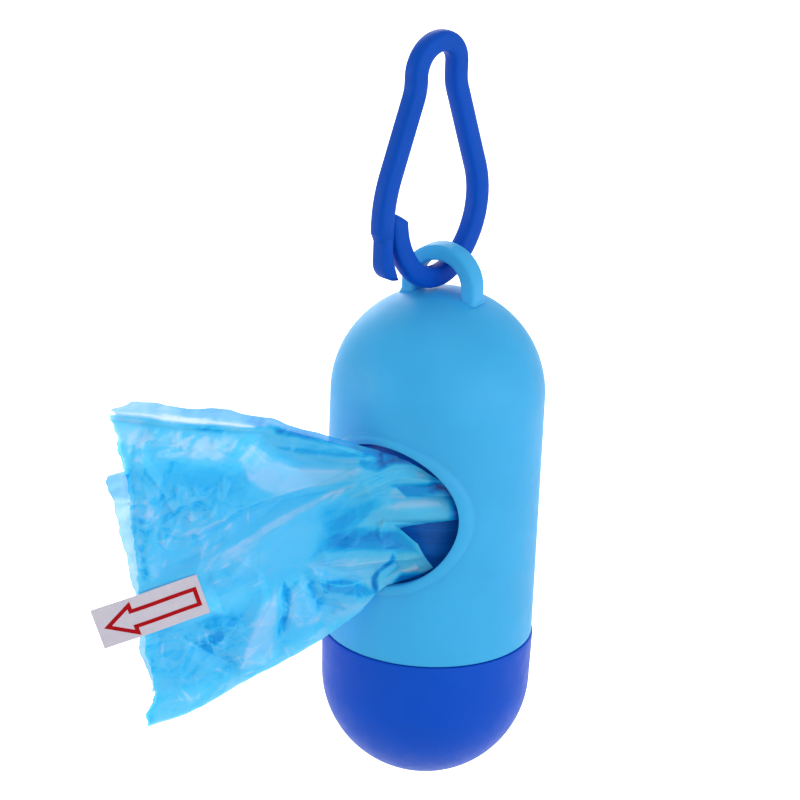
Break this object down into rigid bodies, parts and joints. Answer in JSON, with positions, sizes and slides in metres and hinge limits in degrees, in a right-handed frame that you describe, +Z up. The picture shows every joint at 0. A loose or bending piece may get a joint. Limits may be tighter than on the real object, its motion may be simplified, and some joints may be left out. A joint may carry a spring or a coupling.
{
  "type": "dog waste bag dispenser",
  "caption": "Capsule-shaped dispenser for a roll of dog waste bags: domed body with a round side hole, screw cap, snap clip, and a folded bag fanning out with its label.",
  "frame": {"origin": "where the clip hangs: the inside of its top bend", "axes": "+Z up along the hanging capsule; -Y the way the dispensing hole faces; the moulded loop lies in the XZ plane"},
  "size_m": [0.0554, 0.0706, 0.134],
  "materials": {
    "housing_plastic": "satin, sky blue",
    "cap_plastic": "satin, royal blue",
    "clip_plastic": "satin, royal blue, springy",
    "bag_film": "thin translucent film, light blue, crinkled",
    "core_board": "wound paperboard tube",
    "label_paper": "matte paper label with a red outlined arrow"
  },
  "bodies": {
    "clip": {"clip_frame": "clip_plastic"},
    "gate": {"clip_gate": "clip_plastic"},
    "capsule": {"housing": "housing_plastic"},
    "carriage": {"core_tube": "core_board"},
    "cap": {"screw_cap": "cap_plastic"},
    "roll": {"bag_02": "bag_film", "bag_03": "bag_film", "bag_04": "bag_film", "bag_05": "bag_film", "bag_06": "bag_film", "bag_07": "bag_film", "bag_08": "bag_film", "bag_09": "bag_film", "bag_10": "bag_film", "bag_11": "bag_film", "bag_12": "bag_film", "bag_13": "bag_film", "bag_14": "bag_film", "bag_15": "bag_film"},
    "leading_bag": {"bag_01_leading": "bag_film", "pull_label": "label_paper"}
  },
  "joints": [
    {"name": "capsule_swing", "type": "hinge", "parent": "clip", "child": "capsule", "pos_m": [0.00015, 0.00054, -0.03888], "axis": [0.2588, 0.9659, 0], "range_deg": [-75, 75]},
    {"name": "gate_flex", "type": "hinge", "parent": "clip", "child": "gate", "pos_m": [-0.0014, -0.00522, -0.0039], "axis": [-0.9659, 0.2588, 0], "range_deg": [0, 15], "stiffness_Nm_per_rad": 0.05},
    {"name": "core_drop", "type": "slide", "parent": "capsule", "child": "carriage", "axis": [0, 0, -1], "range_m": [0, 0.0048]},
    {"name": "cap_turn", "type": "hinge", "parent": "carriage", "child": "cap", "pos_m": [0.00175, 0.00111, -0.11188], "axis": [0, 0, -1], "range_deg": [0, 540]},
    {"name": "bag_pull", "type": "slide", "parent": "capsule", "child": "leading_bag", "axis": [-0.7826, -0.6225, 0], "range_m": [0, 0.02]},
    {"name": "roll_spin", "type": "hinge", "parent": "carriage", "child": "roll", "pos_m": [0.00175, 0.00111, -0.09145], "axis": [0, 0, -1], "range_deg": [0, 80]}
  ],
  "couplings": [
    {"joint": "cap_turn", "follows": "core_drop", "rad_per_m": 1963.5},
    {"joint": "roll_spin", "follows": "bag_pull", "rad_per_m": 68.966}
  ]
}
